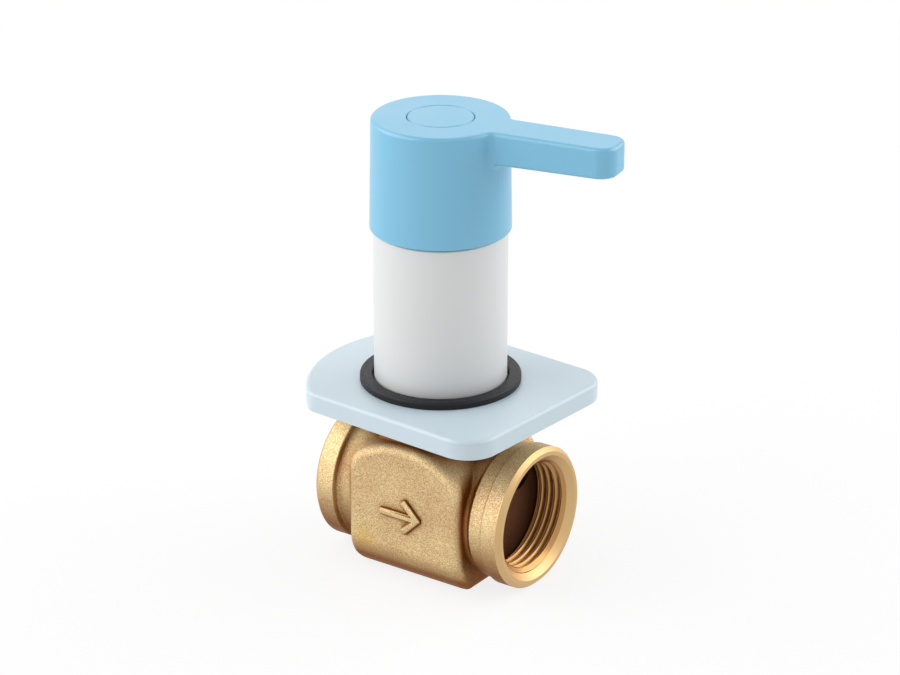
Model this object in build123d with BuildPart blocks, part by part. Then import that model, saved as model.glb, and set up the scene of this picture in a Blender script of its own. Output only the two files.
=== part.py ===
# Concealed flush cock: a cast brass body with two female pipe ends, a quarter-turn ceramic
# headwork, a wall plate with its rubber ring, a long sleeve and a lever handle.
# Millimetres. The foot stands on z = 0, the spindle turns about the Z axis, and the pipe
# runs along X with the outlet at +X. The lever and the plate stand as they do at rest.
import os
from math import cos, radians, sin, sqrt

from build123d import *

# fits
RUN = 0.05           # radial, for what turns in a guide
SLIP = 0.10          # radial or sideways, for pieces put together by hand
LOOSE = 0.30         # radial, round a piece that only passes through

# how it stands at rest
LEVER_TURN = 9.6     # degrees from the pipe's line, seen from above
PLATE_TURN = -3.8

# pipe ends, G1 female thread
AXIS_Z = 21.0
THREAD_R = 16.62     # to the root of the thread
OUTLET_THREAD = 11.9
INLET_THREAD = 10.2
MOUTH_R = 18.4       # countersink in front of the thread
MOUTH = 1.85
COLLAR_R = 20.75
COLLAR_CHAMFER = 1.2
COLLAR_STEP = 0.5
OUTLET_FACE = 34.3
INLET_FACE = -30.2
OUTLET_COLLAR = 6.0
INLET_COLLAR = 6.6
OUTLET_NECK_R = 17.6
OUTLET_NECK = 1.0
OUTLET_FLARE = 2.0
OUTLET_FLARE_R = 19.7
INLET_NECK_R = 19.2
INLET_STEP = 0.9
OUTLET_BLEND = 0.9
INLET_BLEND = 2.1

# cast block
BLOCK_MID = 1.15
BLOCK_HALF_X = 19.45
BLOCK_HALF_Y = 20.6
CROWN_Z = AXIS_Z + 20.6
ARCH_R = 28.0
SHOULDER_R = 8.0
SIDE_R = 5.5         # lower edge on the inlet's side
FRONT_R = 10.75
TURN_UNDER = 64.0    # degrees the lower edges turn under before they meet the foot
EDGE_R = 2.6
FOOT_EDGE_R = 1.4    # lower edge on the outlet's side

# boss and spigot
BOSS_R = 17.6
BOSS_TOP = AXIS_Z + 29.0
SPIGOT_R = 16.1
SPIGOT_TOP = BOSS_TOP + 11.6

# water ways
SEAT_Z = AXIS_Z + 3.2
WEB = 4.3
SEAT_R = 8.0
WAY_WIDTH = 25.5
WAY_HEIGHT = 11.8
CHAMBER_R = 14.2
HEADWORK_R = 12.9

# wall plate and ring
PLATE = 5.8
PLATE_LIP = 2.15
PLATE_HALF_Y = 31.5
PLATE_EDGE_X = 37.0
PLATE_ROUND_R = 40.3
PLATE_ROUND_X = 2.75
PLATE_CORNER_R = 9.7
PLATE_NOSE_R = 5.4
PLATE_SOFT = 1.1
RING = 2.1
RING_R = 22.95
RING_SOFT = 0.65

# sleeve
SLEEVE_R = 18.9
SLEEVE_BORE_R = 16.55
SLEEVE_SPIGOT_R = 16.75
SLEEVE_SPIGOT = 8.6
SLEEVE_LEDGE = 3.8
SLEEVE_LEDGE_R = 13.4
SLEEVE_SOFT = 0.4
LEDGE_RISE = 2.15    # of the bush's ledge above the sleeve's shoulder
BUSH_R = 14.95
BUSH = 5.4

# handle
CAP_TOP = AXIS_Z + 113.1
CAP_HEIGHT = 32.25
CAP_LOW_R = 19.9
CAP_TOP_R = 19.35
CAP_WALL = 2.6
CAP_CEILING = 6.9
CAP_GAP = 0.45       # between the cap's rim and the sleeve's shoulder
CAP_SOFT = 1.1
CAP_RIM_SOFT = 0.4
LEVER_REACH = 53.6
LEVER_ROOT_HALF = 6.9
LEVER_TIP_HALF = 6.6
LEVER_TIP_R = 4.9
LEVER_ROOT = 9.7
LEVER_TIP = 8.75
LEVER_BLEND = 2.4
COVER_R = 9.3
COVER = 2.15
COVER_GAP = 0.16
COVER_SOFT = 0.27
COVER_SKIRT = 1.6
COVER_WALL = 1.0
POCKET_R = 7.0
HUB_R = 9.2
HUB_CLEAR = 2.1      # between the bush and the hub that turns above it
HUB_WEB = 3.2
INSERT_R = 6.7

# headwork and spindles
SHAFT_R = 5.4
SQUARE = 7.5
SQUARE_CHAMFER = 0.5
DISC_R = 9.8
DISC = 3.2
DISC_CORE_R = 2.4
FLOW_ARC = 80.0
CAVITY_R = 9.95
HOUSING_R = 11.8
HOUSING_GAP = 1.7    # between the seat and the housing's lower end
PILOT_GAP = 1.6
KEY_REACH = 10.8
KEY_DROP = 0.3
SEAL_IN_R = 7.4
SEAL = 3.0
DRIVE_BAR = 8.6
DRIVE_DEEP = 1.5
FLOW_HEIGHT = 4.3
FLOW_LAND = 0.2
FLOW_WIDTH = 12.7
FLANGE = 3.0
WASHER = 1.1
GASKET = 1.1
GASKET_R = 15.7
HEX_ACROSS = 26.0
HEX_COLLAR_R = 15.3
HEX_COLLAR = 2.15
HEX = 8.6
GROOVE_R = 4.2
GROOVE = 1.9
GROOVE_BELOW = 12.9  # from the gasket down to the lower seal
GROOVE_APART = 5.4
SEAL_SECTION_R = 0.6
SEAL_EASE = 0.015
CLIP = 1.1
CLIP_R = 7.5
CLIP_IN_R = 4.6
CLIP_OPEN = 70.0
CLIP_GAP = 0.3
CLIP_LAND = 0.7
STOP_IN_R = 9.7
STOP_OUT_R = 12.3
STOP = 3.2
STOP_ARC = 178.0
STOP_GAP = 0.6
LUG_ARC = 90.0
LUG_PLATE = 2.2
LUG_LIFT = 0.4
SOCKET_R = 8.2
SOCKET = 13.4
SOCKET_END = 1.4
SOCKET_DEEPER = 0.2
SPINDLE_END = 0.5

# screws
SCREW_R = 2.5
SCREW_HEAD_R = 4.4
SCREW_HEAD = 2.6
SCREW_HEAD_SOFT = 1.0
SCREW_LENGTH = 14.0
SCREW_CROSS = 4.4
SCREW_CROSS_WIDE = 1.0
SCREW_CROSS_DEEP = 1.5
SCREW_HOLE_DEEPER = 1.0
SCREW_WASHER_R = 5.2
SCREW_WASHER = 1.0
GRUB_R = 2.0
GRUB_SUNK = 0.3
GRUB_KEY = 2.0
GRUB_KEY_DEEP = 1.6
GRUB_UP = 0.62       # share of the socket's height

# heights that follow from the sizes above
PLATE_TOP = BOSS_TOP + PLATE
SLEEVE_LOW = BOSS_TOP + PLATE_LIP
CAP_LOW = CAP_TOP - CAP_HEIGHT
SLEEVE_SHOULDER = CAP_LOW - CAP_GAP
SLEEVE_TOP = SLEEVE_SHOULDER + SLEEVE_SPIGOT
LEDGE_TOP = SLEEVE_SHOULDER + LEDGE_RISE
CEILING_Z = CAP_TOP - CAP_CEILING
COVER_SEAT = CAP_TOP - COVER
WEB_LOW = CEILING_Z - HUB_WEB
INSERT_LOW = max(LEDGE_TOP + BUSH, SLEEVE_TOP) + HUB_CLEAR
EXTENSION_TOP = WEB_LOW - SPINDLE_END
SEAL_TOP = SEAT_Z + SEAL
FIXED_TOP = SEAL_TOP + DISC
TURNING_TOP = FIXED_TOP + DISC
FLANGE_LOW = TURNING_TOP + FLOW_HEIGHT
FLANGE_TOP = FLANGE_LOW + FLANGE
CAVITY_TOP = FLANGE_TOP + WASHER + RUN
COLLAR_LOW = SPIGOT_TOP + GASKET
HEX_LOW = COLLAR_LOW + HEX_COLLAR
HEX_TOP = HEX_LOW + HEX
CLIP_LOW = HEX_TOP + CLIP_GAP
SQUARE_LOW = CLIP_LOW + CLIP + CLIP_LAND
STOP_TOP = HEX_TOP + STOP
SOCKET_LOW = STOP_TOP
SOCKET_TOP = SOCKET_LOW + SOCKET
SQUARE_TOP = SOCKET_TOP - SOCKET_END
HOUSING_LOW = SEAT_Z + HOUSING_GAP

PIPE = Axis((0, 0, AXIS_Z), (1, 0, 0))
UPRIGHT = (Align.CENTER, Align.CENTER, Align.MIN)


def on_arc(x, y, radius, degrees):
    return (x + radius * cos(radians(degrees)), y + radius * sin(radians(degrees)))


def turned(radius, low, high, mode=Mode.ADD, arc=360.0, start=0.0):
    with Locations((0, 0, low)):
        Cylinder(radius, high - low, arc_size=arc, rotation=(0, 0, start), align=Align.NONE, mode=mode)


def bar(x, y, low, high, mode=Mode.ADD, turn=0.0):
    with Locations((0, 0, low)):
        Box(x, y, high - low, rotation=(0, 0, turn), align=UPRIGHT, mode=mode)


def along_pipe(radius, start, end, mode=Mode.SUBTRACT):
    with Locations(((start + end) / 2, 0, AXIS_Z)):
        Cylinder(radius, abs(end - start), rotation=(0, 90, 0), mode=mode)


def mouth(face, inward):
    with Locations((face + inward * MOUTH / 2, 0, AXIS_Z)):
        Cone(MOUTH_R, THREAD_R, MOUTH, rotation=(0, 90 * inward, 0), mode=Mode.SUBTRACT)


def water_way(start, end, low, mode=Mode.SUBTRACT):
    middle = ((start + end) / 2, 0, low + WAY_HEIGHT / 2)
    length = abs(end - start)
    with Locations(middle):
        Box(length, WAY_WIDTH - WAY_HEIGHT, WAY_HEIGHT, mode=mode)
    for side in (-1, 1):
        with Locations((middle[0], side * (WAY_WIDTH - WAY_HEIGHT) / 2, middle[2])):
            Cylinder(WAY_HEIGHT / 2, length, rotation=(0, 90, 0), mode=mode)


def round_the_pipe(edges, radius, low, high):
    found = []
    for edge in edges:
        points = [edge.position_at(t) for t in (0.1, 0.5, 0.9)]
        reach = [sqrt(p.Y ** 2 + (p.Z - AXIS_Z) ** 2) for p in points]
        near = all(abs(r - radius) < 0.02 for r in reach)
        if near and edge.geom_type != GeomType.LINE and all(low < p.X < high for p in points):
            found.append(edge)
    return found


def from_axis(item):
    return sqrt(item.center().X ** 2 + item.center().Y ** 2)


# cast brass body
left = BLOCK_MID - BLOCK_HALF_X
right = BLOCK_MID + BLOCK_HALF_X
shoulder_z = CROWN_Z - (ARCH_R - sqrt(ARCH_R ** 2 - BLOCK_HALF_X ** 2))
side_rise = SIDE_R * sin(radians(TURN_UNDER))
front_rise = FRONT_R * sin(radians(TURN_UNDER))
outlet_thread_end = OUTLET_FACE - OUTLET_THREAD
inlet_thread_end = INLET_FACE + INLET_THREAD

with BuildPart() as valve_body:
    with BuildSketch(Plane.XZ) as outline:
        with BuildLine():
            left_foot = on_arc(left + SIDE_R, side_rise, SIDE_R, TURN_UNDER - 180)
            left_turn = on_arc(left + SIDE_R, side_rise, SIDE_R, TURN_UNDER / 2 - 180)
            Line(left_foot, (right, 0))
            Line((right, 0), (right, shoulder_z))
            ThreePointArc((right, shoulder_z), (BLOCK_MID, CROWN_Z), (left, shoulder_z))
            Line((left, shoulder_z), (left, side_rise))
            ThreePointArc((left, side_rise), left_turn, left_foot)
        make_face()
        fillet([v for v in outline.vertices() if abs(v.Y - shoulder_z) < 0.01], SHOULDER_R)
    extrude(amount=BLOCK_HALF_Y, both=True)
    with BuildSketch(Plane.YZ):
        with BuildLine():
            foot = on_arc(BLOCK_HALF_Y - FRONT_R, front_rise, FRONT_R, -TURN_UNDER)
            turn = on_arc(BLOCK_HALF_Y - FRONT_R, front_rise, FRONT_R, -TURN_UNDER / 2)
            Line((-foot[0], foot[1]), foot)
            ThreePointArc(foot, turn, (BLOCK_HALF_Y, front_rise))
            Line((BLOCK_HALF_Y, front_rise), (BLOCK_HALF_Y, CROWN_Z + 1))
            Line((BLOCK_HALF_Y, CROWN_Z + 1), (-BLOCK_HALF_Y, CROWN_Z + 1))
            Line((-BLOCK_HALF_Y, CROWN_Z + 1), (-BLOCK_HALF_Y, front_rise))
            ThreePointArc((-BLOCK_HALF_Y, front_rise), (-turn[0], turn[1]), (-foot[0], foot[1]))
        make_face()
    extrude(amount=BLOCK_HALF_X * 2, both=True, mode=Mode.INTERSECT)
    on_panels = [e for e in valve_body.edges() if abs(abs(e.center().Y) - BLOCK_HALF_Y) < 0.01]
    fillet([e for e in on_panels if e.center().Z > front_rise + 0.5], EDGE_R)
    with BuildSketch(Plane.XZ):
        with Locations((right - FOOT_EDGE_R, FOOT_EDGE_R)):
            Rectangle(2 * FOOT_EDGE_R, 2 * FOOT_EDGE_R, align=(Align.MIN, Align.MAX))
            Circle(FOOT_EDGE_R, mode=Mode.SUBTRACT)
    extrude(amount=BLOCK_HALF_Y, both=True, mode=Mode.SUBTRACT)
    with BuildSketch(Plane.XZ) as outlet_form:
        with BuildLine():
            flare = right + OUTLET_NECK
            collar_x = OUTLET_FACE - OUTLET_COLLAR
            Polyline(
                (0, AXIS_Z),
                (0, AXIS_Z + OUTLET_NECK_R),
                (flare, AXIS_Z + OUTLET_NECK_R),
                (flare + OUTLET_FLARE, AXIS_Z + OUTLET_FLARE_R),
                (collar_x - COLLAR_STEP, AXIS_Z + COLLAR_R - COLLAR_STEP),
                (collar_x, AXIS_Z + COLLAR_R),
                (OUTLET_FACE - COLLAR_CHAMFER, AXIS_Z + COLLAR_R),
                (OUTLET_FACE, AXIS_Z + COLLAR_R - COLLAR_CHAMFER),
                (OUTLET_FACE, AXIS_Z),
                close=True,
            )
        make_face()
        fillet([v for v in outlet_form.vertices() if abs(v.X - flare) < 0.01], OUTLET_BLEND)
    revolve(axis=PIPE)
    with BuildSketch(Plane.XZ) as inlet_form:
        with BuildLine():
            step = INLET_FACE + INLET_COLLAR
            Polyline(
                (0, AXIS_Z),
                (0, AXIS_Z + INLET_NECK_R),
                (step + INLET_STEP, AXIS_Z + INLET_NECK_R),
                (step, AXIS_Z + COLLAR_R),
                (INLET_FACE + COLLAR_CHAMFER, AXIS_Z + COLLAR_R),
                (INLET_FACE, AXIS_Z + COLLAR_R - COLLAR_CHAMFER),
                (INLET_FACE, AXIS_Z),
                close=True,
            )
        make_face()
        fillet([v for v in inlet_form.vertices() if abs(v.X - step - INLET_STEP) < 0.01], INLET_STEP)
        fillet([v for v in inlet_form.vertices() if abs(v.X - step) < 0.01], COLLAR_STEP)
    revolve(axis=PIPE)
    fillet(round_the_pipe(valve_body.edges(), OUTLET_NECK_R, 3, right + 0.2), OUTLET_BLEND)
    fillet(round_the_pipe(valve_body.edges(), INLET_NECK_R, left - 0.2, -3), INLET_BLEND)
    turned(BOSS_R, AXIS_Z, BOSS_TOP)
    turned(SPIGOT_R, BOSS_TOP, SPIGOT_TOP)
    along_pipe(THREAD_R, outlet_thread_end, OUTLET_FACE + 1)
    along_pipe(THREAD_R, INLET_FACE - 1, inlet_thread_end)
    mouth(OUTLET_FACE, -1)
    mouth(INLET_FACE, 1)
    turned(CHAMBER_R, SEAT_Z, SEAT_Z + WAY_HEIGHT, Mode.SUBTRACT)
    turned(HEADWORK_R, SEAT_Z + WAY_HEIGHT, SPIGOT_TOP, Mode.SUBTRACT)
    turned(SEAT_R, AXIS_Z - 5, SEAT_Z, Mode.SUBTRACT)
    water_way(CHAMBER_R / 2, outlet_thread_end + 0.1, SEAT_Z)
    water_way(inlet_thread_end - 0.1, SEAT_R + 1.5, SEAT_Z - WEB - WAY_HEIGHT)

# headwork, fixed pieces
with BuildPart() as seat_seal:
    turned(DISC_R, SEAT_Z, SEAL_TOP)
    turned(SEAL_IN_R, SEAT_Z, SEAL_TOP, Mode.SUBTRACT)

with BuildPart() as flow_openings:
    for side in (90, 270):
        turned(SEAL_IN_R, 0, DISC, Mode.ADD, FLOW_ARC, side - FLOW_ARC / 2)
    turned(DISC_CORE_R, 0, DISC, Mode.SUBTRACT)

with BuildPart() as fixed_disc:
    turned(DISC_R, SEAL_TOP, FIXED_TOP)
    bar(2 * KEY_REACH, DISC, SEAL_TOP, FIXED_TOP - KEY_DROP)
    add(flow_openings.part.moved(Location((0, 0, SEAL_TOP))), mode=Mode.SUBTRACT)

with BuildPart() as headwork_housing:
    turned(HOUSING_R, HOUSING_LOW, CAVITY_TOP)
    turned(HEADWORK_R - RUN, SEAT_Z + WAY_HEIGHT + PILOT_GAP, COLLAR_LOW)
    turned(HEX_COLLAR_R, COLLAR_LOW, HEX_LOW)
    with BuildSketch(Plane.XY.offset(HEX_LOW)):
        RegularPolygon(HEX_ACROSS / 2, 6, major_radius=False)
    extrude(amount=HEX)
    turned(STOP_OUT_R, HEX_TOP, STOP_TOP, Mode.ADD, STOP_ARC, 180 - STOP_ARC / 2)
    turned(STOP_IN_R, HEX_TOP, STOP_TOP, Mode.SUBTRACT)
    turned(CAVITY_R, HOUSING_LOW, CAVITY_TOP, Mode.SUBTRACT)
    turned(SHAFT_R + RUN, CAVITY_TOP, HEX_TOP, Mode.SUBTRACT)
    bar(4 * CAVITY_R, DISC + 2 * SLIP, HOUSING_LOW, FIXED_TOP, Mode.SUBTRACT)
    bar(FLOW_WIDTH, 4 * CAVITY_R, TURNING_TOP + FLOW_LAND, FLANGE_LOW, Mode.SUBTRACT)

with BuildPart() as headwork_gasket:
    turned(GASKET_R, SPIGOT_TOP, COLLAR_LOW)
    turned(HEADWORK_R + SLIP, SPIGOT_TOP, COLLAR_LOW, Mode.SUBTRACT)

# wall plate, ring, sleeve and bush
plate_x = (cos(radians(PLATE_TURN)), sin(radians(PLATE_TURN)), 0)
with BuildPart() as wall_plate:
    with BuildSketch(Plane((0, 0, BOSS_TOP), x_dir=plate_x, z_dir=(0, 0, 1))) as plate_form:
        with BuildLine():
            nose_x = PLATE_ROUND_X - sqrt(PLATE_ROUND_R ** 2 - PLATE_HALF_Y ** 2)
            Line((nose_x, -PLATE_HALF_Y), (PLATE_EDGE_X, -PLATE_HALF_Y))
            Line((PLATE_EDGE_X, -PLATE_HALF_Y), (PLATE_EDGE_X, PLATE_HALF_Y))
            Line((PLATE_EDGE_X, PLATE_HALF_Y), (nose_x, PLATE_HALF_Y))
            farthest = (PLATE_ROUND_X - PLATE_ROUND_R, 0)
            ThreePointArc((nose_x, PLATE_HALF_Y), farthest, (nose_x, -PLATE_HALF_Y))
        make_face()
        corners = plate_form.vertices().sort_by(Axis.X)
        fillet(corners[2:], PLATE_CORNER_R)
        fillet(plate_form.vertices().sort_by(Axis.X)[:2], PLATE_NOSE_R)
    extrude(amount=PLATE)
    fillet(wall_plate.faces().sort_by(Axis.Z)[-1].edges(), PLATE_SOFT)
    fillet(wall_plate.faces().sort_by(Axis.Z)[0].edges(), PLATE_SOFT / 2)
    turned(SPIGOT_R + SLIP, BOSS_TOP, PLATE_TOP, Mode.SUBTRACT)
    turned(SLEEVE_R + LOOSE, SLEEVE_LOW, PLATE_TOP, Mode.SUBTRACT)

with BuildPart() as sealing_ring:
    turned(RING_R, PLATE_TOP, PLATE_TOP + RING)
    turned(SLEEVE_R + LOOSE + SLIP, PLATE_TOP, PLATE_TOP + RING, Mode.SUBTRACT)
    fillet(sealing_ring.edges().filter_by(GeomType.CIRCLE).group_by(Axis.Z)[-1], RING_SOFT)

with BuildPart() as sleeve:
    turned(SLEEVE_R, SLEEVE_LOW, SLEEVE_SHOULDER)
    fillet(sleeve.edges().filter_by(GeomType.CIRCLE).group_by(Axis.Z)[-1], SLEEVE_SOFT)
    turned(SLEEVE_SPIGOT_R, SLEEVE_SHOULDER, SLEEVE_TOP)
    turned(SPIGOT_R + SLIP, SLEEVE_LOW, SPIGOT_TOP, Mode.SUBTRACT)
    turned(SLEEVE_BORE_R, SPIGOT_TOP, LEDGE_TOP - SLEEVE_LEDGE, Mode.SUBTRACT)
    turned(SLEEVE_LEDGE_R, LEDGE_TOP - SLEEVE_LEDGE, LEDGE_TOP, Mode.SUBTRACT)
    turned(BUSH_R + RUN, LEDGE_TOP, SLEEVE_TOP, Mode.SUBTRACT)

with BuildPart() as guide_bush:
    turned(BUSH_R, LEDGE_TOP, LEDGE_TOP + BUSH)
    turned(SHAFT_R + RUN, LEDGE_TOP, LEDGE_TOP + BUSH, Mode.SUBTRACT)

# headwork, turning pieces
with BuildPart() as rotating_disc:
    turned(DISC_R, FIXED_TOP, TURNING_TOP)
    add(flow_openings.part.moved(Location((0, 0, FIXED_TOP), (0, 0, LEVER_TURN))), mode=Mode.SUBTRACT)
    drive_low = TURNING_TOP - DRIVE_DEEP - SLIP
    bar(3 * DISC_R, DRIVE_BAR + 2 * SLIP, drive_low, TURNING_TOP, Mode.SUBTRACT, LEVER_TURN)

with BuildPart() as headwork_spindle:
    turned(DISC_R - SLIP, TURNING_TOP - DRIVE_DEEP, FLANGE_LOW)
    bar(3 * DISC_R, DRIVE_BAR, TURNING_TOP - DRIVE_DEEP, FLANGE_LOW, Mode.INTERSECT, LEVER_TURN)
    turned(DISC_R - SLIP, FLANGE_LOW, FLANGE_TOP)
    turned(SHAFT_R, FLANGE_TOP, SQUARE_LOW)
    bar(SQUARE, SQUARE, SQUARE_LOW, SQUARE_TOP, Mode.ADD, LEVER_TURN)
    chamfer(headwork_spindle.faces().sort_by(Axis.Z)[-1].edges(), SQUARE_CHAMFER)
    seal_levels = (COLLAR_LOW - GROOVE_BELOW, COLLAR_LOW - GROOVE_BELOW + GROOVE_APART)
    for level in seal_levels:
        turned(SHAFT_R + 1, level - GROOVE / 2, level + GROOVE / 2, Mode.SUBTRACT)
        turned(GROOVE_R, level - GROOVE / 2, level + GROOVE / 2)
    turned(SHAFT_R + 1, CLIP_LOW - RUN, CLIP_LOW + CLIP + RUN, Mode.SUBTRACT)
    turned(CLIP_IN_R - RUN, CLIP_LOW - RUN, CLIP_LOW + CLIP + RUN)

seal_ring_r = GROOVE_R + SEAL_SECTION_R + SEAL_EASE
with BuildPart() as lower_spindle_seal:
    with Locations((0, 0, seal_levels[0])):
        Torus(seal_ring_r, SEAL_SECTION_R)

with BuildPart() as upper_spindle_seal:
    with Locations((0, 0, seal_levels[1])):
        Torus(seal_ring_r, SEAL_SECTION_R)

with BuildPart() as thrust_washer:
    turned(DISC_R - SLIP, FLANGE_TOP, FLANGE_TOP + WASHER)
    turned(SHAFT_R + SLIP, FLANGE_TOP, FLANGE_TOP + WASHER, Mode.SUBTRACT)

with BuildPart() as spindle_clip:
    turned(CLIP_R, CLIP_LOW, CLIP_LOW + CLIP)
    turned(CLIP_IN_R, CLIP_LOW, CLIP_LOW + CLIP, Mode.SUBTRACT)
    turned(CLIP_R + 1, CLIP_LOW, CLIP_LOW + CLIP, Mode.SUBTRACT, CLIP_OPEN, 180 - CLIP_OPEN / 2 + LEVER_TURN)

with BuildPart() as extension_spindle:
    turned(SOCKET_R, SOCKET_LOW, SOCKET_TOP)
    lug_top = STOP_TOP + LUG_LIFT
    turned(STOP_OUT_R, lug_top, lug_top + LUG_PLATE)
    turned(STOP_OUT_R, HEX_TOP + STOP_GAP, lug_top, Mode.ADD, LUG_ARC, LEVER_TURN - LUG_ARC)
    turned(STOP_IN_R, HEX_TOP + STOP_GAP, SOCKET_LOW, Mode.SUBTRACT)
    turned(SHAFT_R, SOCKET_TOP, INSERT_LOW - SLIP)
    bar(SQUARE, SQUARE, INSERT_LOW - SLIP, EXTENSION_TOP, Mode.ADD, LEVER_TURN)
    chamfer(extension_spindle.faces().sort_by(Axis.Z)[-1].edges(), SQUARE_CHAMFER)
    socket_square = SQUARE + 2 * SLIP
    bar(socket_square, socket_square, SOCKET_LOW, SQUARE_TOP + SOCKET_DEEPER, Mode.SUBTRACT, LEVER_TURN)
    screw_end = CEILING_Z - SCREW_LENGTH
    turned(SCREW_R + RUN, screw_end - SCREW_HOLE_DEEPER, EXTENSION_TOP, Mode.SUBTRACT)
    grub_z = SOCKET_LOW + SOCKET * GRUB_UP
    grub_way = Plane((0, 0, grub_z), z_dir=(cos(radians(LEVER_TURN - 90)), sin(radians(LEVER_TURN - 90)), 0))
    with BuildSketch(grub_way):
        Circle(GRUB_R + RUN)
    extrude(amount=SOCKET_R + 1, mode=Mode.SUBTRACT)

with BuildPart() as extension_grub_screw:
    with BuildSketch(grub_way.offset(SQUARE / 2)):
        Circle(GRUB_R)
    extrude(amount=SOCKET_R - SQUARE / 2 - GRUB_SUNK)
    with BuildSketch(grub_way.offset(SOCKET_R - GRUB_SUNK)):
        RegularPolygon(GRUB_KEY / 2, 6, major_radius=False)
    extrude(amount=-GRUB_KEY_DEEP, mode=Mode.SUBTRACT)

# handle
lever_x = (cos(radians(LEVER_TURN)), sin(radians(LEVER_TURN)), 0)
lever_top = Plane((0, 0, CAP_TOP), x_dir=lever_x, z_dir=(0, 0, 1))
lever_side = Plane((0, 0, 0), x_dir=lever_x, z_dir=(lever_x[1], -lever_x[0], 0))

with BuildPart() as lever_blade:
    with BuildSketch(lever_top) as lever_plan:
        with BuildLine():
            Polyline(
                (COVER_R, -LEVER_ROOT_HALF),
                (LEVER_REACH, -LEVER_TIP_HALF),
                (LEVER_REACH, LEVER_TIP_HALF),
                (COVER_R, LEVER_ROOT_HALF),
                close=True,
            )
        make_face()
        fillet(lever_plan.vertices().sort_by(Axis.X)[2:], LEVER_TIP_R)
    extrude(amount=-2 * LEVER_ROOT)
    with BuildSketch(lever_side):
        with BuildLine():
            Polyline(
                (0, CAP_TOP),
                (LEVER_REACH + 1, CAP_TOP),
                (LEVER_REACH + 1, CAP_TOP - LEVER_TIP),
                (0, CAP_TOP - LEVER_ROOT),
                close=True,
            )
        make_face()
    extrude(amount=2 * LEVER_ROOT_HALF, both=True, mode=Mode.INTERSECT)
    low_edges = lever_blade.faces().sort_by(Axis.Z)[0].edges()
    fillet([e for e in low_edges if from_axis(e) > COVER_R + 1], CAP_SOFT)


with BuildPart() as lever_handle:
    with BuildSketch(Plane.XZ):
        with BuildLine():
            Polyline(
                (0, CAP_LOW),
                (CAP_LOW_R, CAP_LOW),
                (CAP_TOP_R, CAP_TOP),
                (0, CAP_TOP),
                close=True,
            )
        make_face()
    revolve(axis=Axis.Z)
    add(lever_blade.part)
    root = [e for e in lever_handle.edges() if CAP_TOP - LEVER_ROOT - 1 < e.center().Z < CAP_TOP - 0.5]
    root = [e for e in root if from_axis(e) < CAP_LOW_R + 0.3 and e.geom_type != GeomType.LINE]
    fillet(root, LEVER_BLEND)
    fillet(lever_handle.faces().sort_by(Axis.Z)[-1].outer_wire().edges(), CAP_SOFT)
    fillet(lever_handle.edges().filter_by(GeomType.CIRCLE).group_by(Axis.Z)[0], CAP_RIM_SOFT)
    turned(CAP_LOW_R - CAP_WALL, CAP_LOW, CEILING_Z, Mode.SUBTRACT)
    turned(HUB_R, INSERT_LOW, CEILING_Z)
    turned(INSERT_R + SLIP, INSERT_LOW, WEB_LOW, Mode.SUBTRACT)
    turned(SCREW_R + SLIP, WEB_LOW, CEILING_Z, Mode.SUBTRACT)
    turned(POCKET_R, CEILING_Z, COVER_SEAT, Mode.SUBTRACT)
    turned(COVER_R + COVER_GAP, COVER_SEAT, CAP_TOP, Mode.SUBTRACT)
    chamfer(lever_handle.faces().sort_by(Axis.Z)[-1].inner_wires()[0].edges(), COVER_SOFT)

with BuildPart() as handle_insert:
    turned(INSERT_R, INSERT_LOW, WEB_LOW)
    bar(socket_square, socket_square, INSERT_LOW, WEB_LOW, Mode.SUBTRACT, LEVER_TURN)

with BuildPart() as handle_screw_washer:
    turned(SCREW_WASHER_R, CEILING_Z, CEILING_Z + SCREW_WASHER)
    turned(SCREW_R + SLIP, CEILING_Z, CEILING_Z + SCREW_WASHER, Mode.SUBTRACT)

head_low = CEILING_Z + SCREW_WASHER
with BuildPart() as handle_screw:
    turned(SCREW_HEAD_R, head_low, head_low + SCREW_HEAD)
    fillet(handle_screw.edges().filter_by(GeomType.CIRCLE).group_by(Axis.Z)[-1], SCREW_HEAD_SOFT)
    turned(SCREW_R, screw_end, head_low)
    with BuildSketch(Plane.XY.offset(head_low + SCREW_HEAD)):
        Rectangle(SCREW_CROSS, SCREW_CROSS_WIDE)
        Rectangle(SCREW_CROSS_WIDE, SCREW_CROSS)
    extrude(amount=-SCREW_CROSS_DEEP, mode=Mode.SUBTRACT)

with BuildPart() as handle_cover:
    turned(COVER_R, COVER_SEAT, CAP_TOP)
    chamfer(handle_cover.edges().filter_by(GeomType.CIRCLE).group_by(Axis.Z)[-1], COVER_SOFT)
    turned(POCKET_R - SLIP, COVER_SEAT - COVER_SKIRT, COVER_SEAT)
    turned(POCKET_R - SLIP - COVER_WALL, COVER_SEAT - COVER_SKIRT, COVER_SEAT, Mode.SUBTRACT)

os.makedirs("parts", exist_ok=True)

valve_body.part.label = "valve_body"
export_step(valve_body.part, "parts/valve_body.step")
seat_seal.part.label = "seat_seal"
export_step(seat_seal.part, "parts/seat_seal.step")
fixed_disc.part.label = "fixed_disc"
export_step(fixed_disc.part, "parts/fixed_disc.step")
headwork_housing.part.label = "headwork_housing"
export_step(headwork_housing.part, "parts/headwork_housing.step")
headwork_gasket.part.label = "headwork_gasket"
export_step(headwork_gasket.part, "parts/headwork_gasket.step")
wall_plate.part.label = "wall_plate"
export_step(wall_plate.part, "parts/wall_plate.step")
sealing_ring.part.label = "sealing_ring"
export_step(sealing_ring.part, "parts/sealing_ring.step")
sleeve.part.label = "sleeve"
export_step(sleeve.part, "parts/sleeve.step")
guide_bush.part.label = "guide_bush"
export_step(guide_bush.part, "parts/guide_bush.step")
rotating_disc.part.label = "rotating_disc"
export_step(rotating_disc.part, "parts/rotating_disc.step")
headwork_spindle.part.label = "headwork_spindle"
export_step(headwork_spindle.part, "parts/headwork_spindle.step")
thrust_washer.part.label = "thrust_washer"
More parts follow.
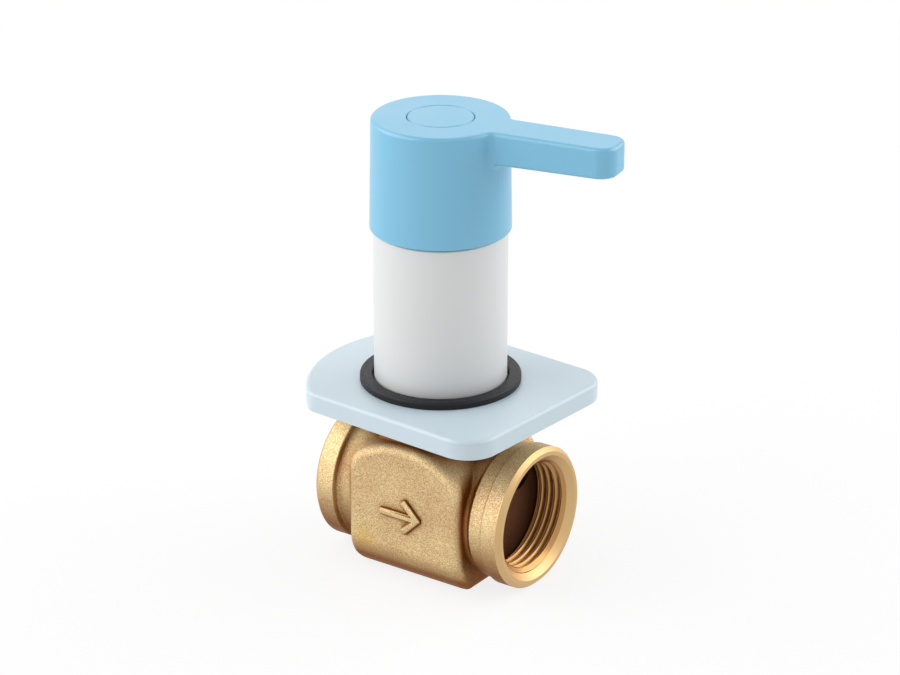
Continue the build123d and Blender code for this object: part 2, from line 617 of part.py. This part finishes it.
export_step(thrust_washer.part, "parts/thrust_washer.step")
lower_spindle_seal.part.label = "lower_spindle_seal"
export_step(lower_spindle_seal.part, "parts/lower_spindle_seal.step")
upper_spindle_seal.part.label = "upper_spindle_seal"
export_step(upper_spindle_seal.part, "parts/upper_spindle_seal.step")
spindle_clip.part.label = "spindle_clip"
export_step(spindle_clip.part, "parts/spindle_clip.step")
extension_spindle.part.label = "extension_spindle"
export_step(extension_spindle.part, "parts/extension_spindle.step")
extension_grub_screw.part.label = "extension_grub_screw"
export_step(extension_grub_screw.part, "parts/extension_grub_screw.step")
lever_handle.part.label = "lever_handle"
export_step(lever_handle.part, "parts/lever_handle.step")
handle_insert.part.label = "handle_insert"
export_step(handle_insert.part, "parts/handle_insert.step")
handle_screw.part.label = "handle_screw"
export_step(handle_screw.part, "parts/handle_screw.step")
handle_screw_washer.part.label = "handle_screw_washer"
export_step(handle_screw_washer.part, "parts/handle_screw_washer.step")
handle_cover.part.label = "handle_cover"
export_step(handle_cover.part, "parts/handle_cover.step")
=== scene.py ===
from math import atan2, cos, floor, pi, radians, sin

import bmesh
import bpy
from mathutils import Matrix, Vector


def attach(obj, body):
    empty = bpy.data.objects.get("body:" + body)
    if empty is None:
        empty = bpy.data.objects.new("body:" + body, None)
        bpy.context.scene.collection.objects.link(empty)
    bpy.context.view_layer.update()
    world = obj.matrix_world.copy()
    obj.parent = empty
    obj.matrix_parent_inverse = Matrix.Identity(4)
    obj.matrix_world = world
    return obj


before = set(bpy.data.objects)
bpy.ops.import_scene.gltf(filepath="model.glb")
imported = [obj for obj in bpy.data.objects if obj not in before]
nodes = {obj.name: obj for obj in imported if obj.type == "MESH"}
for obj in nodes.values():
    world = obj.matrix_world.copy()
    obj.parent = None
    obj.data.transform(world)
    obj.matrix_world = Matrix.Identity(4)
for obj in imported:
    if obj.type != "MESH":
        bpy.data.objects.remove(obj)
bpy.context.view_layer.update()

MM = 0.001

# the cast body
AXIS = Vector((0, 0, 21.0 * MM))      # the pipe's line, which runs along X
OUTLET_FACE = 34.3 * MM
INLET_FACE = -30.2 * MM
TURNED_BAND = 1.4 * MM                # how far the lathe has cut back from each end face
PANEL_Y = -20.6 * MM                  # the cast block's front panel
WATER_WAY_R = 17.1 * MM               # nothing outside the ports lies so near the pipe's line
DARK_OVERLAP = 0.4 * MM               # how far the painted shade of the water way reaches past the end of a thread
STAIN_AT = Vector((-12.0 * MM, PANEL_Y, 9.5 * MM))
STAIN_CORE = 0.5 * MM
STAIN_EDGE = 5.5 * MM
CORNER_REACH = 7.0 * MM               # corners narrower than this get the painted shade and tarnish

# the threads of the two ports
MOUTH = 1.85 * MM                     # depth of the countersink cut in the solid
MOUTH_SLOPE = 0.96                    # the countersink runs on into the thread
RUN_OUT_SLOPE = 0.9                   # how fast the thread fades at its inner end
OUTLET_END = 22.4 * MM                # where each port's thread stops
INLET_END = -20.0 * MM
THREAD_ROOT = 16.59 * MM              # just inside the solid's wall
THREAD_DEPTH = 1.44 * MM
THREAD_PITCH = 2.309 * MM             # 11 turns to the inch
THREAD_ROW = 0.115 * MM               # spacing of the points along the pipe
THREAD_STEPS = 180                    # points around the pipe
WELD = 0.002 * MM

# the cast flow arrow: the corners of its upper half in millimetres, and its tip
ARROW_HALF = ((-7.2, 1.1), (2.99, 1.1), (0.04, 4.05), (1.6, 5.6))
ARROW_TIP = (7.2, 0.0)
ARROW_MIDDLE = Vector((0.8, 0, 20.6))
ARROW_ROOT = 0.4 * MM                 # how deep it starts in the panel
ARROW_THICKNESS = 1.35 * MM
ARROW_EDGE_R = 0.6 * MM

# sizes of the patterns that the materials show
SAND_GRAIN = 0.30 * MM
SAND_PIT = 1.05 * MM
SAND_RELIEF = 0.18 * MM
BRASS_DRIFT = 14.0 * MM
LATHE_PATCH = 4.0 * MM
MOULD_SKIN = 0.62 * MM
MOULD_CLOUD = 18.0 * MM
RUBBER_TOOTH = 0.77 * MM
ZINC_STREAK = 1.4 * MM
SMOOTH_RELIEF = 0.05 * MM
RUBBER_RELIEF = 0.06 * MM
SCATTER_DEPTH = 1.2 * MM

# the photograph's view
AZIMUTH = radians(35.29)
RISE = radians(22.78)
AIM = Vector((0, 0, 68.15 * MM))
CAMERA_DISTANCE = 890.9 * MM
FOCAL_LENGTH = 126.02
SENSOR_WIDTH = 36.0
SHIFT_X = 0.01037
CLIP_START = 0.05

# the studio, in metres
FLOOR_HALF = 4.0
FLOOR_DROP = 0.05 * MM                # keeps the floor clear of the object's foot
SHADOW_NEAR = 0.15                    # the floor's shading fades out between these distances
SHADOW_FAR = 0.55
LAMP_TARGET = Vector((0, 0, 0.07))
BACK_LAMP_TARGET = Vector((0, 0, 0.10))
WHITE = (1.0, 1.0, 1.0, 1.0)


def linear(hex_colour):
    channels = [int(hex_colour[i:i + 2], 16) / 255 for i in (1, 3, 5)]
    return tuple(c / 12.92 if c <= 0.04045 else ((c + 0.055) / 1.055) ** 2.4 for c in channels) + (1.0,)


def add(material, kind, inputs=None, **settings):
    made = material.node_tree.nodes.new(kind)
    for name, value in settings.items():
        setattr(made, name, value)
    for socket, value in (inputs or {}).items():
        if isinstance(value, bpy.types.NodeSocket):
            material.node_tree.links.new(value, made.inputs[socket])
        else:
            made.inputs[socket].default_value = value
    return made


def blank(name):
    material = bpy.data.materials.new(name)
    material.use_nodes = True
    material.node_tree.nodes.clear()
    return material


def finish_material(material, shader):
    add(material, "ShaderNodeOutputMaterial", {"Surface": shader.outputs[0]})
    return material


# Sand-cast brass: a pale, matt, sparkling grain with millimetre pits left by the sand, a slow
# drift between rosy and yellow brass, a painted brown shade in the corners, partly tarnish, and
# underneath, painted shade in the water ways, a yellow stain low on the front panel, and smooth
# ends where the lathe has cut.
def cast_brass_material():
    m = blank("sand_cast_brass")
    place = add(m, "ShaderNodeTexCoord").outputs["Object"]
    grain = add(m, "ShaderNodeTexNoise", {
        "Vector": place, "Scale": 1 / SAND_GRAIN, "Detail": 2.0, "Roughness": 0.6})
    pits = add(m, "ShaderNodeTexNoise", {
        "Vector": place, "Scale": 1 / SAND_PIT, "Detail": 2.0, "Roughness": 0.5})
    drift = add(m, "ShaderNodeTexNoise", {
        "Vector": place, "Scale": 1 / BRASS_DRIFT, "Detail": 3.0, "Roughness": 0.55})

    # rosy to yellow brass, with a darker fleck in every hollow of the grain
    tone = add(m, "ShaderNodeValToRGB", {"Fac": drift.outputs["Fac"]})
    rosy, yellow = tone.color_ramp.elements
    rosy.position = 0.36
    rosy.color = linear("#E1C59C")
    yellow.position = 0.64
    yellow.color = linear("#EDD7AA")
    flecks = add(m, "ShaderNodeValToRGB", {"Fac": grain.outputs["Fac"]})
    hollow, crest = flecks.color_ramp.elements
    hollow.position = 0.36
    hollow.color = linear("#D2C3A4")
    crest.position = 0.60
    crest.color = linear("#FFFFFF")
    cast = add(m, "ShaderNodeMix", {
        "Factor": 1.0, "A": tone.outputs["Color"], "B": flecks.outputs["Color"],
    }, data_type="RGBA", blend_type="MULTIPLY")

    # the yellow stain
    away = add(m, "ShaderNodeVectorMath", {0: place, 1: STAIN_AT}, operation="DISTANCE")
    near = add(m, "ShaderNodeMapRange", {
        "Value": away.outputs["Value"], "From Min": STAIN_CORE, "From Max": STAIN_EDGE,
        "To Min": 0.55, "To Max": 0.0})
    stained = add(m, "ShaderNodeMix", {
        "Factor": near.outputs[0], "A": cast.outputs["Result"], "B": linear("#D9B35E"),
    }, data_type="RGBA")

    # painted shade: brown in the corners, where it is partly tarnish, and on the faces that look down
    corner = add(m, "ShaderNodeAmbientOcclusion", {"Distance": CORNER_REACH}, samples=8)
    shade = add(m, "ShaderNodeMapRange", {
        "Value": corner.outputs["AO"], "From Min": 0.70, "From Max": 0.99, "To Min": 0.97, "To Max": 0.0})
    facing = add(m, "ShaderNodeSeparateXYZ", {0: add(m, "ShaderNodeNewGeometry").outputs["Normal"]})
    below = add(m, "ShaderNodeMapRange", {
        "Value": facing.outputs["Z"], "From Min": -0.60, "From Max": 0.06, "To Min": 0.94, "To Max": 0.0})
    painted_shade_and_tarnish = add(m, "ShaderNodeMath", {0: shade.outputs[0], 1: below.outputs[0]}, operation="MAXIMUM")
    shaded_and_tarnished = add(m, "ShaderNodeMix", {
        "Factor": painted_shade_and_tarnish.outputs[0], "A": stained.outputs["Result"], "B": linear("#875019"),
    }, data_type="RGBA")

    # painted shade: the water way between the two threads is drawn dark
    axes = add(m, "ShaderNodeSeparateXYZ", {0: place})
    off_axis = add(m, "ShaderNodeVectorMath", {0: place, 1: AXIS}, operation="SUBTRACT")
    across = add(m, "ShaderNodeVectorMath", {0: off_axis.outputs[0], 1: (0, 1, 1)}, operation="MULTIPLY")
    reach = add(m, "ShaderNodeVectorMath", {0: across.outputs[0]}, operation="LENGTH")
    in_bore = add(m, "ShaderNodeMath", {0: reach.outputs["Value"], 1: WATER_WAY_R}, operation="LESS_THAN")
    between_threads = add(m, "ShaderNodeMath", {
        0: axes.outputs["X"],
        1: (OUTLET_END + INLET_END) / 2,
        2: (OUTLET_END - INLET_END) / 2 + DARK_OVERLAP,
    }, operation="COMPARE")
    bore_shade_mask = add(m, "ShaderNodeMath", {
        0: in_bore.outputs[0], 1: between_threads.outputs[0]}, operation="MULTIPLY")
    bore_shaded = add(m, "ShaderNodeMix", {
        "Factor": bore_shade_mask.outputs[0], "A": shaded_and_tarnished.outputs["Result"], "B": linear("#6A4530"),
    }, data_type="RGBA")

    # the end faces and countersinks that the lathe has cut
    outlet_end = add(m, "ShaderNodeMath", {
        0: axes.outputs["X"], 1: OUTLET_FACE - TURNED_BAND}, operation="GREATER_THAN")
    inlet_end = add(m, "ShaderNodeMath", {
        0: axes.outputs["X"], 1: INLET_FACE + TURNED_BAND}, operation="LESS_THAN")
    ends = add(m, "ShaderNodeMath", {0: outlet_end.outputs[0], 1: inlet_end.outputs[0]}, operation="ADD")
    mouths = add(m, "ShaderNodeMath", {0: in_bore.outputs[0], 1: bore_shade_mask.outputs[0]}, operation="SUBTRACT")
    turned = add(m, "ShaderNodeMath", {0: ends.outputs[0], 1: mouths.outputs[0]}, operation="MAXIMUM")
    colour = add(m, "ShaderNodeMix", {
        "Factor": turned.outputs[0], "A": bore_shaded.outputs["Result"], "B": linear("#D0AE7C"),
    }, data_type="RGBA")

    # rough and bumpy where it is cast, smooth where it is turned
    height = add(m, "ShaderNodeMath", {0: grain.outputs["Fac"], 1: pits.outputs["Fac"]}, operation="ADD")
    rough = add(m, "ShaderNodeMapRange", {
        "Value": grain.outputs["Fac"], "From Min": 0.3, "From Max": 0.7, "To Min": 0.66, "To Max": 0.48})
    finish = add(m, "ShaderNodeMix", {"Factor": turned.outputs[0], "A": rough.outputs[0], "B": 0.46})
    relief = add(m, "ShaderNodeMapRange", {
        "Value": turned.outputs[0], "From Min": 0.0, "From Max": 1.0, "To Min": 0.85, "To Max": 0.03})
    bump = add(m, "ShaderNodeBump", {
        "Strength": relief.outputs[0], "Distance": SAND_RELIEF, "Height": height.outputs[0]})
    shader = add(m, "ShaderNodeBsdfPrincipled", {
        "Base Color": colour.outputs["Result"],
        "Metallic": 1.0,
        "Roughness": finish.outputs[0],
        "Normal": bump.outputs[0],
    })
    return finish_material(m, shader)


# Brass cut in the lathe: smooth, with patches that have dulled a little.
def turned_brass(name, hex_colour, roughness):
    m = blank(name)
    place = add(m, "ShaderNodeTexCoord").outputs["Object"]
    dull = add(m, "ShaderNodeTexNoise", {
        "Vector": place, "Scale": 1 / LATHE_PATCH, "Detail": 3.0, "Roughness": 0.6})
    spread = add(m, "ShaderNodeMapRange", {
        "Value": dull.outputs["Fac"], "From Min": 0.3, "From Max": 0.7,
        "To Min": roughness + 0.07, "To Max": roughness - 0.05})
    bump = add(m, "ShaderNodeBump", {
        "Strength": 0.1, "Distance": SMOOTH_RELIEF, "Height": dull.outputs["Fac"]})
    shader = add(m, "ShaderNodeBsdfPrincipled", {
        "Base Color": linear(hex_colour),
        "Metallic": 1.0,
        "Roughness": spread.outputs[0],
        "Normal": bump.outputs[0],
    })
    return finish_material(m, shader)


# Injection-moulded ABS or polypropylene: even colour, a satin skin with a faint spark-eroded
# texture of the mould, drawn a little coarser than real so that it shows. The lapped ceramic and
# the pressed fibre are made of the same nodes, smoother and rougher.
def moulded_plastic(name, hex_colour, roughness, scatter, texture):
    m = blank(name)
    place = add(m, "ShaderNodeTexCoord").outputs["Object"]
    skin = add(m, "ShaderNodeTexNoise", {
        "Vector": place, "Scale": 1 / MOULD_SKIN, "Detail": 2.0, "Roughness": 0.5})
    cloud = add(m, "ShaderNodeTexNoise", {
        "Vector": place, "Scale": 1 / MOULD_CLOUD, "Detail": 2.0, "Roughness": 0.5})
    spread = add(m, "ShaderNodeMapRange", {
        "Value": cloud.outputs["Fac"], "From Min": 0.3, "From Max": 0.7,
        "To Min": roughness + 0.04, "To Max": roughness - 0.04})
    bump = add(m, "ShaderNodeBump", {
        "Strength": texture, "Distance": SMOOTH_RELIEF, "Height": skin.outputs["Fac"]})
    shader = add(m, "ShaderNodeBsdfPrincipled", {
        "Base Color": linear(hex_colour),
        "Roughness": spread.outputs[0],
        "Specular IOR Level": 1.0,
        "Normal": bump.outputs[0],
        "Subsurface Weight": scatter,
        "Subsurface Radius": (1.0, 1.0, 1.0),
        "Subsurface Scale": SCATTER_DEPTH,
    })
    return finish_material(m, shader)


# Nitrile rubber: near black, satin, with the fine tooth of its mould.
def rubber_material():
    m = blank("black_rubber")
    place = add(m, "ShaderNodeTexCoord").outputs["Object"]
    tooth = add(m, "ShaderNodeTexNoise", {
        "Vector": place, "Scale": 1 / RUBBER_TOOTH, "Detail": 3.0, "Roughness": 0.6})
    spread = add(m, "ShaderNodeMapRange", {
        "Value": tooth.outputs["Fac"], "From Min": 0.3, "From Max": 0.7, "To Min": 0.55, "To Max": 0.4})
    bump = add(m, "ShaderNodeBump", {
        "Strength": 0.2, "Distance": RUBBER_RELIEF, "Height": tooth.outputs["Fac"]})
    shader = add(m, "ShaderNodeBsdfPrincipled", {
        "Base Color": linear("#121317"),
        "Roughness": spread.outputs[0],
        "Specular IOR Level": 0.3,
        "Normal": bump.outputs[0],
    })
    return finish_material(m, shader)


# Zinc-plated steel of the screws and the clip: plain and bright, slightly uneven.
def plated_steel():
    m = blank("plated_steel")
    place = add(m, "ShaderNodeTexCoord").outputs["Object"]
    streak = add(m, "ShaderNodeTexNoise", {
        "Vector": place, "Scale": 1 / ZINC_STREAK, "Detail": 2.0, "Roughness": 0.5})
    spread = add(m, "ShaderNodeMapRange", {
        "Value": streak.outputs["Fac"], "From Min": 0.3, "From Max": 0.7, "To Min": 0.4, "To Max": 0.28})
    shader = add(m, "ShaderNodeBsdfPrincipled", {
        "Base Color": linear("#B9BBBD"),
        "Metallic": 1.0,
        "Roughness": spread.outputs[0],
    })
    return finish_material(m, shader)


cast_brass = cast_brass_material()
# the threads get a darker brass than the turned ends: painted shade inside the ports
thread_brass = turned_brass("shaded_thread_brass", "#B28654", roughness=0.32)
bright_brass = turned_brass("turned_brass", "#DDB67C", roughness=0.26)
blue_abs = moulded_plastic("sky_blue_abs", "#6CB3D3", roughness=0.34, scatter=0.0, texture=0.06)
white_abs = moulded_plastic("white_abs", "#D4D5D5", roughness=0.38, scatter=0.0, texture=0.06)
pale_pp = moulded_plastic("pale_blue_polypropylene", "#C1D1DA", roughness=0.38, scatter=0.15, texture=0.08)
rubber = rubber_material()
ceramic = moulded_plastic("lapped_ceramic", "#E4E0D6", roughness=0.22, scatter=0.0, texture=0.02)
fibre = moulded_plastic("red_fibre", "#7A3326", roughness=0.8, scatter=0.0, texture=0.3)
steel = plated_steel()

finishes = {
    "valve_body": cast_brass,
    "seat_seal": rubber,
    "fixed_disc": ceramic,
    "headwork_housing": bright_brass,
    "headwork_gasket": fibre,
    "wall_plate": pale_pp,
    "sealing_ring": rubber,
    "sleeve": white_abs,
    "guide_bush": white_abs,
    "rotating_disc": ceramic,
    "headwork_spindle": bright_brass,
    "thrust_washer": white_abs,
    "lower_spindle_seal": rubber,
    "upper_spindle_seal": rubber,
    "spindle_clip": steel,
    "extension_spindle": bright_brass,
    "extension_grub_screw": steel,
    "lever_handle": blue_abs,
    "handle_insert": bright_brass,
    "handle_screw": steel,
    "handle_screw_washer": steel,
    "handle_cover": blue_abs,
}
for name, material in finishes.items():
    nodes[name].data.materials.clear()
    nodes[name].data.materials.append(material)


def piece(name, bm, material, body):
    for face in bm.faces:
        face.smooth = True
    mesh = bpy.data.meshes.new(name)
    bm.to_mesh(mesh)
    bm.free()
    mesh.materials.append(material)
    made = bpy.data.objects.new(name, mesh)
    bpy.context.scene.collection.objects.link(made)
    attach(made, body)


# A pipe thread cut in a port: a plain liner is spun about the pipe's line, and every point is then
# drawn in to the thread's form, with a countersunk mouth and a run-out at the inner end.
def port_thread(name, start, end):
    bm = bmesh.new()
    low = bm.verts.new(AXIS + Vector((end, 0, THREAD_ROOT)))
    high = bm.verts.new(AXIS + Vector((start, 0, THREAD_ROOT)))
    line = bm.edges.new((low, high))
    bmesh.ops.subdivide_edges(bm, edges=[line], cuts=int(abs(start - end) / THREAD_ROW))
    bmesh.ops.spin(bm, geom=bm.verts[:] + bm.edges[:], cent=AXIS, axis=(1, 0, 0), angle=2 * pi,
                   steps=THREAD_STEPS, use_merge=True)
    bmesh.ops.remove_doubles(bm, verts=bm.verts, dist=WELD)
    for v in bm.verts:
        across = Vector((0, v.co.y, v.co.z - AXIS.z))
        turn = atan2(across.y, across.z) / (2 * pi)
        along = v.co.x / THREAD_PITCH + turn
        step = abs(along - floor(along) - 0.5) * 2
        rounded = 0.5 - 0.5 * cos(pi * step)
        ridge = (step + rounded) / 2
        mouth = abs(start - v.co.x) * MOUTH_SLOPE
        run_out = abs(v.co.x - end) * RUN_OUT_SLOPE
        across.length = THREAD_ROOT - min(THREAD_DEPTH * ridge, mouth, run_out)
        v.co = Vector((v.co.x, across.y, across.z + AXIS.z))
    for face in bm.faces:
        outward = face.calc_center_median() - AXIS
        outward.x = 0
        if face.normal.dot(outward) > 0:
            face.normal_flip()
    piece(name, bm, thread_brass, "valve")


# A plain flow arrow cast on the front panel, pointing to the outlet: strokes 2.2 mm wide with
# rounded edges, so that it would leave the sand.
def flow_arrow():
    bm = bmesh.new()
    lower = [(x, -z) for x, z in ARROW_HALF]
    corners = [*lower, ARROW_TIP, *reversed(ARROW_HALF)]
    root = Vector((0, PANEL_Y + ARROW_ROOT, 0))
    outline = [bm.verts.new((Vector((x, 0, z)) + ARROW_MIDDLE) * MM + root) for x, z in corners]
    bottom = bm.faces.new(outline)
    raised = bmesh.ops.extrude_face_region(bm, geom=[bottom])
    top = [made for made in raised["geom"] if isinstance(made, bmesh.types.BMVert)]
    bmesh.ops.translate(bm, verts=top, vec=(0, -ARROW_THICKNESS, 0))
    bmesh.ops.recalc_face_normals(bm, faces=bm.faces)
    bmesh.ops.bevel(bm, geom=bm.edges[:], offset=ARROW_EDGE_R, offset_type="OFFSET", affect="EDGES",
                    segments=5, profile=0.5, material=-1, clamp_overlap=True)
    piece("cast_flow_arrow", bm, cast_brass, "valve")


port_thread("outlet_thread", OUTLET_FACE - MOUTH, OUTLET_END)
port_thread("inlet_thread", INLET_FACE + MOUTH, INLET_END)
flow_arrow()


# The camera stands at the photograph's angle.
def photo_camera():
    back = Vector((sin(AZIMUTH) * cos(RISE), -cos(AZIMUTH) * cos(RISE), sin(RISE)))
    right = Vector((cos(AZIMUTH), sin(AZIMUTH), 0))
    up = back.cross(right)
    spot = AIM + back * CAMERA_DISTANCE
    lens = bpy.data.cameras.new("photo_lens")
    lens.lens = FOCAL_LENGTH
    lens.sensor_width = SENSOR_WIDTH
    lens.shift_x = SHIFT_X
    lens.clip_start = CLIP_START
    camera = bpy.data.objects.new("photo_camera", lens)
    bpy.context.scene.collection.objects.link(camera)
    camera.matrix_world = Matrix((
        (right.x, up.x, back.x, spot.x),
        (right.y, up.y, back.y, spot.y),
        (right.z, up.z, back.z, spot.z),
        (0, 0, 0, 1),
    ))
    bpy.context.scene.camera = camera


# Pale studio floor: it takes the soft shadow near the object, and shows white further out.
def studio_floor():
    bm = bmesh.new()
    bmesh.ops.create_grid(bm, x_segments=1, y_segments=1, size=FLOOR_HALF)
    mesh = bpy.data.meshes.new("studio_floor")
    bm.to_mesh(mesh)
    bm.free()
    m = blank("studio_white")
    path = add(m, "ShaderNodeLightPath")
    sharp = add(m, "ShaderNodeMath", {
        0: path.outputs["Is Camera Ray"], 1: path.outputs["Is Glossy Ray"]}, operation="ADD")
    seen = add(m, "ShaderNodeMath", {
        0: sharp.outputs[0], 1: path.outputs["Is Transmission Ray"]}, operation="MAXIMUM")
    place = add(m, "ShaderNodeTexCoord").outputs["Object"]
    away = add(m, "ShaderNodeVectorMath", {0: place}, operation="LENGTH")
    white = add(m, "ShaderNodeMapRange", {
        "Value": away.outputs["Value"], "From Min": SHADOW_NEAR, "From Max": SHADOW_FAR,
        "To Min": 0.82, "To Max": 1.0})
    share = add(m, "ShaderNodeMath", {0: seen.outputs[0], 1: white.outputs[0]}, operation="MULTIPLY")
    paint = add(m, "ShaderNodeBsdfDiffuse", {"Color": linear("#F2F2F2")})
    glow = add(m, "ShaderNodeEmission", {"Color": WHITE, "Strength": 1.0})
    both = add(m, "ShaderNodeMixShader", {0: share.outputs[0], 1: paint.outputs[0], 2: glow.outputs[0]})
    mesh.materials.append(finish_material(m, both))
    made = bpy.data.objects.new("studio_floor", mesh)
    made.location.z = -FLOOR_DROP
    bpy.context.scene.collection.objects.link(made)


def softbox(name, place, target, width, height, power):
    light = bpy.data.lights.new(name, "AREA")
    light.shape = "RECTANGLE"
    light.size = width
    light.size_y = height
    light.energy = power
    lamp = bpy.data.objects.new(name, light)
    lamp.location = place
    lamp.visible_camera = False
    lamp.rotation_euler = (target - Vector(place)).to_track_quat("-Z", "Y").to_euler()
    bpy.context.scene.collection.objects.link(lamp)


# The world is white to the eye and in reflections, and gives a weaker even light.
def studio_world():
    world = bpy.data.worlds.new("studio_world")
    bpy.context.scene.world = world
    world.use_nodes = True
    world.node_tree.nodes.clear()
    path = add(world, "ShaderNodeLightPath")
    sharp = add(world, "ShaderNodeMath", {
        0: path.outputs["Is Camera Ray"], 1: path.outputs["Is Glossy Ray"]}, operation="ADD")
    seen = add(world, "ShaderNodeMath", {
        0: sharp.outputs[0], 1: path.outputs["Is Transmission Ray"]}, operation="MAXIMUM")
    soft = add(world, "ShaderNodeBackground", {"Color": WHITE, "Strength": 0.55})
    clear = add(world, "ShaderNodeBackground", {"Color": WHITE, "Strength": 1.0})
    shown = add(world, "ShaderNodeMixShader", {0: seen.outputs[0], 1: soft.outputs[0], 2: clear.outputs[0]})
    add(world, "ShaderNodeOutputWorld", {"Surface": shown.outputs[0]})


photo_camera()
studio_floor()
softbox("left_softbox", (-0.77, -0.64, 0.66), LAMP_TARGET, width=1.8, height=1.2, power=12.8)
softbox("right_softbox", (0.68, 0.73, 0.58), LAMP_TARGET, width=1.2, height=1.0, power=7.6)
softbox("back_softbox", (-0.58, 0.82, 0.55), BACK_LAMP_TARGET, width=1.0, height=0.6, power=0.9)
studio_world()
bpy.context.scene.view_settings.view_transform = "Standard"
